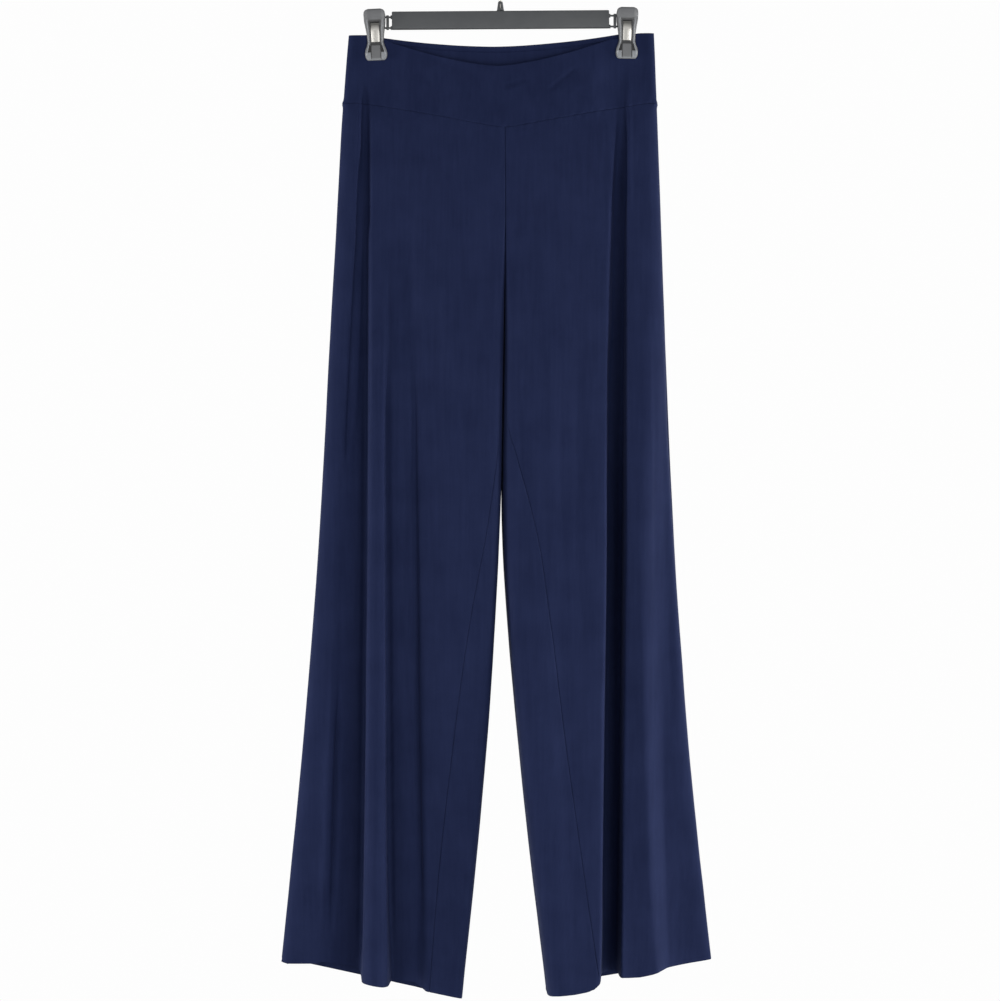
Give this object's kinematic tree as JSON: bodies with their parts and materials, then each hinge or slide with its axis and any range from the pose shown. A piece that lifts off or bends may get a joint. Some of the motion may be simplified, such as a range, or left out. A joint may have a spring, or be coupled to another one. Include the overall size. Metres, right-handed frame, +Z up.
{
  "type": "palazzo pants on a clip hanger",
  "caption": "Wide-leg jersey pants with a wide contoured waistband, held flat by the clips of a trouser hanger and hanging in long soft folds to flared open hems.",
  "frame": {"origin": "inside top of the hanger's hook, where it rests on a rail", "axes": "+Z up, -Y to the front of the garment, +X to the wearer's left"},
  "size_m": [0.4793, 0.0749, 1.1691],
  "materials": {
    "jersey": "matt navy stretch jersey, a fine smooth knit",
    "bar_plastic": "charcoal moulded polypropylene",
    "clip_plastic": "grey moulded polypropylene with worn lighter edges",
    "steel": "bright zinc plated wire and strip"
  },
  "bodies": {
    "root": {"waistband_front": "jersey", "waistband_back": "jersey", "leg_front_right": "jersey", "leg_front_left": "jersey", "leg_back_right": "jersey", "leg_back_left": "jersey", "hanger_bar": "bar_plastic", "hanger_neck": "bar_plastic", "hanger_hook": "steel", "clip_right_front": "clip_plastic", "clip_right_back": "clip_plastic", "clip_right_spring": "steel", "clip_left_front": "clip_plastic", "clip_left_back": "clip_plastic", "clip_left_spring": "steel"}
  },
  "joints": []
}
